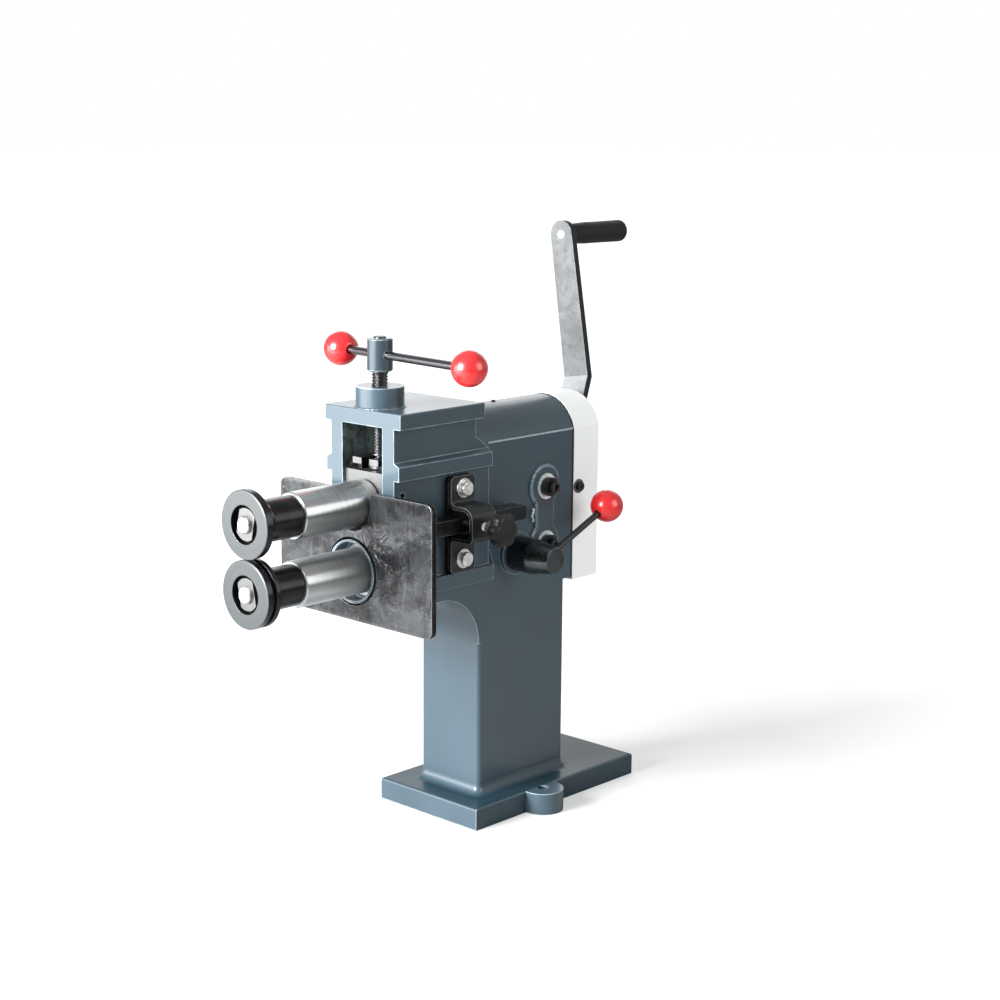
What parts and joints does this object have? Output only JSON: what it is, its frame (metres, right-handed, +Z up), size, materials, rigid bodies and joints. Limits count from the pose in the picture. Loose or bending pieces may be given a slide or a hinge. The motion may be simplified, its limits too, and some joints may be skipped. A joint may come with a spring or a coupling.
{
  "type": "bead roller",
  "caption": "Hand-cranked bench bead roller: cast frame with two geared shafts carrying forming rolls, screw-down feed, sliding fence and a shifting lever.",
  "frame": {"origin": "centre of the base's underside", "axes": "+Z up, the shafts lie along Y with the rolls at -Y and the crank at +Y, +X is the side of the fence clamp and the shifting lever"},
  "size_m": [0.2466, 0.5637, 0.5788],
  "materials": {
    "casting_paint": "glossy blue-grey enamel over cast iron",
    "cover_paint": "white enamel on sheet steel",
    "panel_paint": "black paint on sheet steel",
    "bright_steel": "turned and ground steel",
    "black_steel": "black oxide on steel",
    "scale_steel": "hot-rolled plate with scuffed mill scale",
    "zinc_steel": "zinc-plated steel, slightly stained",
    "bearing_bronze": "turned bearing bronze",
    "red_ball": "glossy red phenolic",
    "black_knob": "black moulded plastic",
    "black_grip": "black moulded grip"
  },
  "bodies": {
    "frame": {"frame_casting": "casting_paint", "pivot_screws": "black_steel", "guide_screw": "black_steel", "lock_nuts": "black_steel", "pivot_washers": "zinc_steel", "oiler": "black_steel", "slide_grub_screw": "black_steel", "back_panel": "panel_paint", "gear_cover": "cover_paint", "cover_screws": "black_steel", "cover_washers": "zinc_steel", "clamp_spacer": "black_steel", "clamp_strap": "black_steel", "clamp_bolts": "zinc_steel", "clamp_washers": "zinc_steel"},
    "slide_block": {"slide_block": "bright_steel", "screw_keeper": "bright_steel"},
    "feed_screw": {"feed_screw": "black_steel", "screw_head": "casting_paint"},
    "tommy_bar": {"tommy_bar": "black_steel", "tommy_balls": "red_ball"},
    "upper_carrier": {"rear_bearing_block": "bearing_bronze", "front_ball_bush": "bearing_bronze"},
    "upper_shaft": {"upper_shaft": "bright_steel", "upper_sleeve": "bright_steel", "upper_collar": "bright_steel", "upper_roll": "black_steel", "upper_roll_nut": "bright_steel", "upper_gear": "black_steel", "upper_gear_key": "bright_steel", "upper_gear_nut": "zinc_steel", "crank_arm": "zinc_steel", "crank_washer": "zinc_steel", "crank_nut": "zinc_steel", "grip_axle": "bright_steel"},
    "crank_grip": {"crank_grip": "black_grip"},
    "quill": {"lower_quill": "bright_steel", "quill_bushes": "bearing_bronze"},
    "lower_shaft": {"lower_shaft": "bright_steel", "lower_sleeve": "bright_steel", "lower_roll": "black_steel", "lower_roll_nut": "bright_steel", "lower_gear": "black_steel", "lower_gear_key": "bright_steel", "lower_gear_retainer": "zinc_steel"},
    "align_lever": {"lever_hub": "black_steel", "lever_rod": "black_steel", "lever_ball": "red_ball"},
    "fence": {"fence_plate": "scale_steel", "fence_bar": "black_steel"},
    "clamp_knob": {"clamp_screw": "bright_steel", "clamp_knob": "black_knob"}
  },
  "joints": [
    {"name": "upper_lift", "type": "slide", "parent": "frame", "child": "slide_block", "axis": [0, 0, 1], "range_m": [0, 0.005]},
    {"name": "screw_turn", "type": "hinge", "parent": "slide_block", "child": "feed_screw", "pos_m": [0, -0.1835, 0.4], "axis": [0, 0, 1], "range_deg": [0, 899.9]},
    {"name": "tommy_slide", "type": "slide", "parent": "feed_screw", "child": "tommy_bar", "axis": [0.9932, -0.1167, 0], "range_m": [-0.101, 0.032]},
    {"name": "upper_tilt", "type": "hinge", "parent": "frame", "child": "upper_carrier", "pos_m": [0, 0.004, 0.3233], "axis": [-1, 0, 0], "range_deg": [0, 1.53]},
    {"name": "upper_spin", "type": "hinge", "parent": "upper_carrier", "child": "upper_shaft", "pos_m": [0, 0.004, 0.3305], "axis": [0, 1, 0], "continuous": true},
    {"name": "grip_spin", "type": "hinge", "parent": "upper_shaft", "child": "crank_grip", "pos_m": [-0.03707, 0.16, 0.56458], "axis": [0, 1, 0], "continuous": true},
    {"name": "align_lever", "type": "hinge", "parent": "frame", "child": "align_lever", "pos_m": [0.045, -0.039, 0.262], "axis": [1, 0, 0], "range_deg": [-30, 30]},
    {"name": "quill_slide", "type": "slide", "parent": "frame", "child": "quill", "axis": [0, 1, 0], "range_m": [-0.00209, 0.00209]},
    {"name": "lower_spin", "type": "hinge", "parent": "quill", "child": "lower_shaft", "pos_m": [0, 0.004, 0.2665], "axis": [0, 1, 0], "continuous": true},
    {"name": "fence_slide", "type": "slide", "parent": "frame", "child": "fence", "axis": [0, -1, 0], "range_m": [0, 0.045]},
    {"name": "clamp_turn", "type": "hinge", "parent": "frame", "child": "clamp_knob", "pos_m": [0.09, -0.1235, 0.3065], "axis": [1, 0, 0], "range_deg": [-180, 0]}
  ],
  "couplings": [
    {"joint": "upper_lift", "follows": "screw_turn", "m_per_rad": 0.00031831},
    {"joint": "upper_tilt", "follows": "screw_turn", "ratio": 0.0016976},
    {"joint": "lower_spin", "follows": "upper_spin", "ratio": -1},
    {"joint": "align_lever", "follows": "quill_slide", "rad_per_m": 250}
  ]
}
